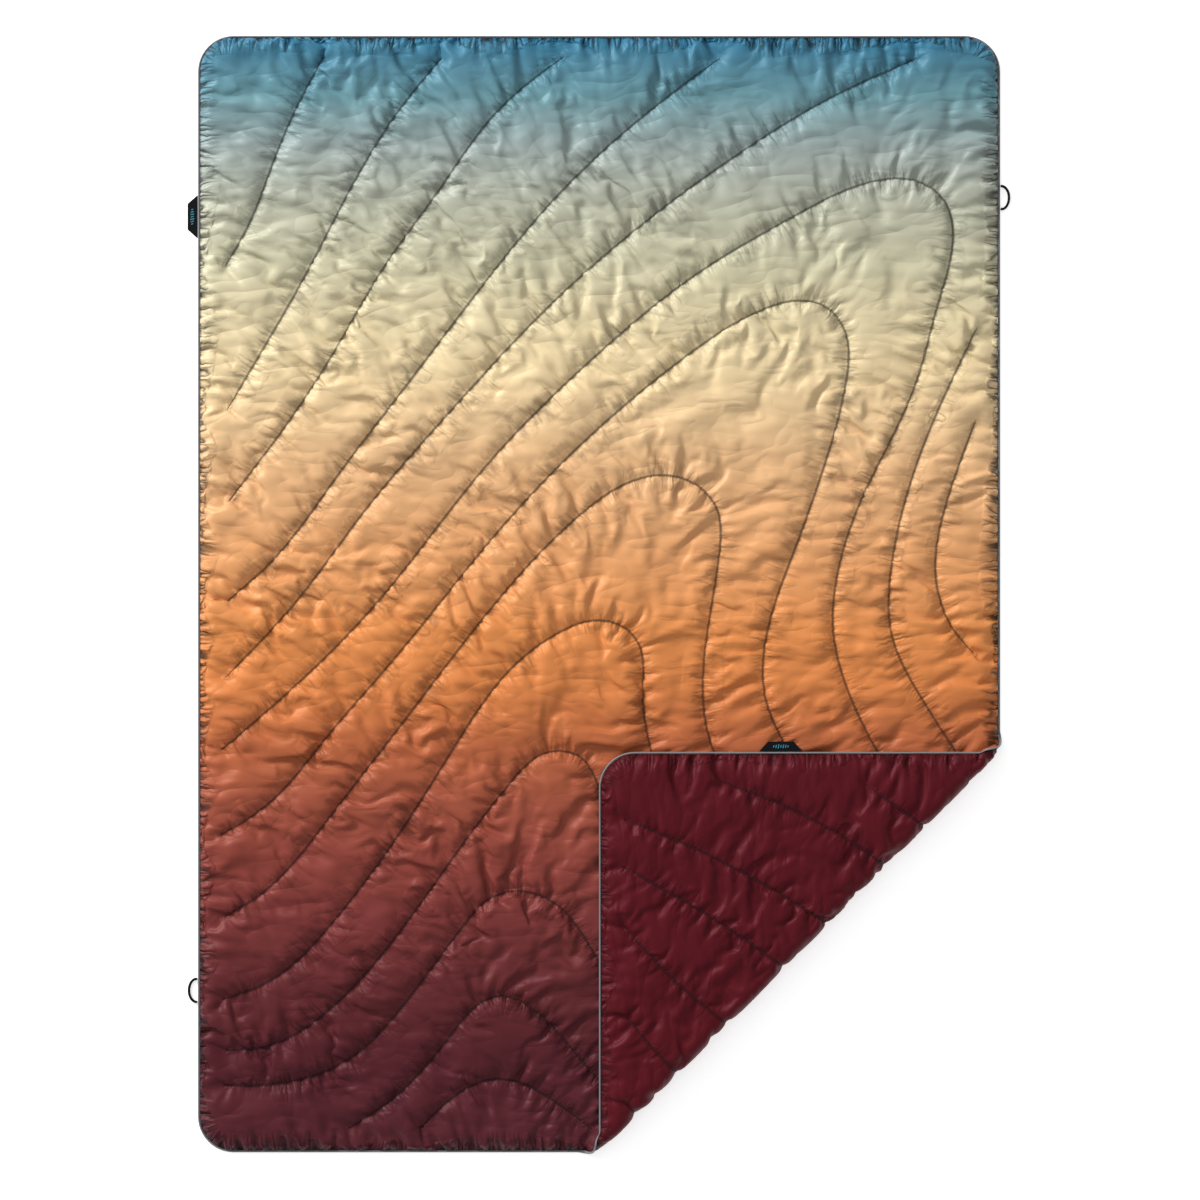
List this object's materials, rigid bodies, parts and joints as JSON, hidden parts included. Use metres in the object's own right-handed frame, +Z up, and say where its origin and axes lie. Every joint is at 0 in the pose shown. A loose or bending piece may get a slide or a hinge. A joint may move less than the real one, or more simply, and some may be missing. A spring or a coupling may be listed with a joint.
{
  "type": "camp blanket",
  "caption": "Quilted insulated camp blanket with a printed face, plain reverse, piped edge, cord loops, label tabs and one corner folded over the face.",
  "frame": {"origin": "middle of the blanket's outline, on the floor that it lies on", "axes": "+X across the blanket, +Y along it, away from the folded corner, +Z up out of its printed face"},
  "size_m": [1.3738, 1.8646, 0.0486],
  "materials": {
    "printed_face_fabric": "satin",
    "plain_reverse_fabric": "satin",
    "polyester_fill": "matte",
    "grey_piping": "matte",
    "quilting_thread": "matte",
    "black_loop_cord": "matte",
    "black_webbing": "matte",
    "woven_label_mark": "matte"
  },
  "bodies": {
    "panel": {"panel_back_shell": "plain_reverse_fabric", "panel_edge_piping": "grey_piping", "panel_face_shell": "printed_face_fabric", "panel_insulation": "polyester_fill", "panel_quilt_seam_01": "quilting_thread", "panel_quilt_seam_02": "quilting_thread", "panel_quilt_seam_03": "quilting_thread", "panel_quilt_seam_04": "quilting_thread", "panel_quilt_seam_05": "quilting_thread", "panel_quilt_seam_06": "quilting_thread", "panel_quilt_seam_07": "quilting_thread", "panel_quilt_seam_08": "quilting_thread", "panel_quilt_seam_09": "quilting_thread", "panel_quilt_seam_10": "quilting_thread", "panel_quilt_seam_11": "quilting_thread", "panel_quilt_seam_12": "quilting_thread", "panel_quilt_seam_13": "quilting_thread", "panel_quilt_seam_14": "quilting_thread", "panel_quilt_seam_15": "quilting_thread"},
    "corner": {"corner_back_shell": "plain_reverse_fabric", "corner_edge_piping": "grey_piping", "corner_face_shell": "printed_face_fabric", "corner_insulation": "polyester_fill", "corner_quilt_seam_06": "quilting_thread", "corner_quilt_seam_07": "quilting_thread", "corner_quilt_seam_08": "quilting_thread", "corner_quilt_seam_09": "quilting_thread", "corner_quilt_seam_10": "quilting_thread", "corner_quilt_seam_11": "quilting_thread", "corner_quilt_seam_12": "quilting_thread"},
    "right_cord_loop": {"right_cord_loop": "black_loop_cord"},
    "left_cord_loop": {"left_cord_loop": "black_loop_cord"},
    "left_label": {"left_label": "black_webbing", "left_label_mark": "woven_label_mark"},
    "right_label": {"right_label": "black_webbing", "right_label_mark": "woven_label_mark"}
  },
  "joints": [
    {"name": "corner_fold", "type": "hinge", "parent": "panel", "child": "corner", "pos_m": [0.335, -0.5975, 0.0243], "axis": [0.7071, 0.7071, 0], "range_deg": [0, 180]},
    {"name": "right_cord_loop_swing", "type": "hinge", "parent": "panel", "child": "right_cord_loop", "pos_m": [0.67255, 0.662, 0.00255], "axis": [0, -1, 0], "range_deg": [0, 90], "stiffness_Nm_per_rad": 0.0005},
    {"name": "left_cord_loop_swing", "type": "hinge", "parent": "panel", "child": "left_cord_loop", "pos_m": [-0.67255, -0.662, 0.00255], "axis": [0, 1, 0], "range_deg": [0, 90], "stiffness_Nm_per_rad": 0.0005},
    {"name": "left_label_flex", "type": "hinge", "parent": "panel", "child": "left_label", "pos_m": [-0.6713, 0.63, 0.002], "axis": [0, 1, 0], "range_deg": [0, 25], "stiffness_Nm_per_rad": 0.0005},
    {"name": "right_label_flex", "type": "hinge", "parent": "corner", "child": "right_label", "pos_m": [0.3025, -0.2612, 0.0266], "axis": [1, 0, 0], "range_deg": [0, 25], "stiffness_Nm_per_rad": 0.0005}
  ]
}
